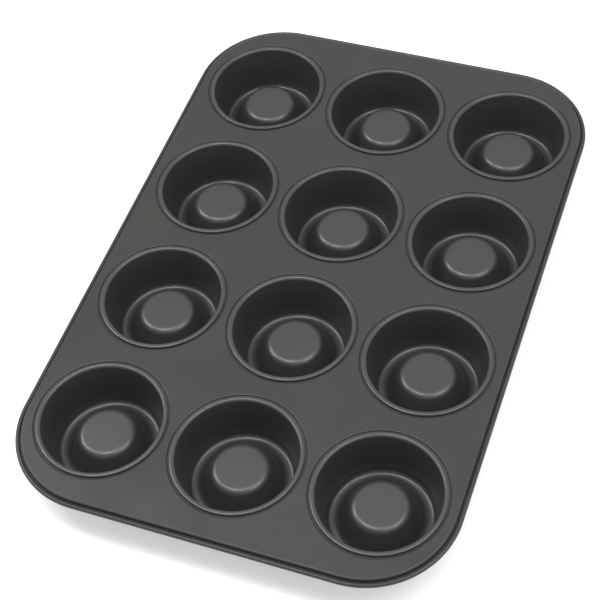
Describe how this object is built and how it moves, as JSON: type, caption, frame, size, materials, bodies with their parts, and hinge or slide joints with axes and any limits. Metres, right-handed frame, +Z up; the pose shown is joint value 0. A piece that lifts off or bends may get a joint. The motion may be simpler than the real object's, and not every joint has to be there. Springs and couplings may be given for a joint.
{
  "type": "muffin tin",
  "caption": "Dark non-stick bakery pan: drawn cups, each with a raised flat-topped plug, hung in a pressed rectangular frame with a rolled, wire-stiffened rim.",
  "frame": {"origin": "on the surface the pan stands on, under the middle of the pan", "axes": "+X across the columns of cups, +Y along the rows away from the front edge, +Z up"},
  "size_m": [0.273, 0.4, 0.032],
  "materials": {
    "frame_coating": "semi-gloss dark grey non-stick coating on pressed steel",
    "cup_coating": "semi-gloss dark grey non-stick coating on drawn steel",
    "bare_wire": "bare drawn wire, hidden in the curled edge"
  },
  "bodies": {
    "root": {"pan_frame": "frame_coating", "rim_wire": "bare_wire", "cup_row_1_left": "cup_coating", "cup_row_1_middle": "cup_coating", "cup_row_1_right": "cup_coating", "cup_row_2_left": "cup_coating", "cup_row_2_middle": "cup_coating", "cup_row_2_right": "cup_coating", "cup_row_3_left": "cup_coating", "cup_row_3_middle": "cup_coating", "cup_row_3_right": "cup_coating", "cup_row_4_left": "cup_coating", "cup_row_4_middle": "cup_coating", "cup_row_4_right": "cup_coating"}
  },
  "joints": []
}
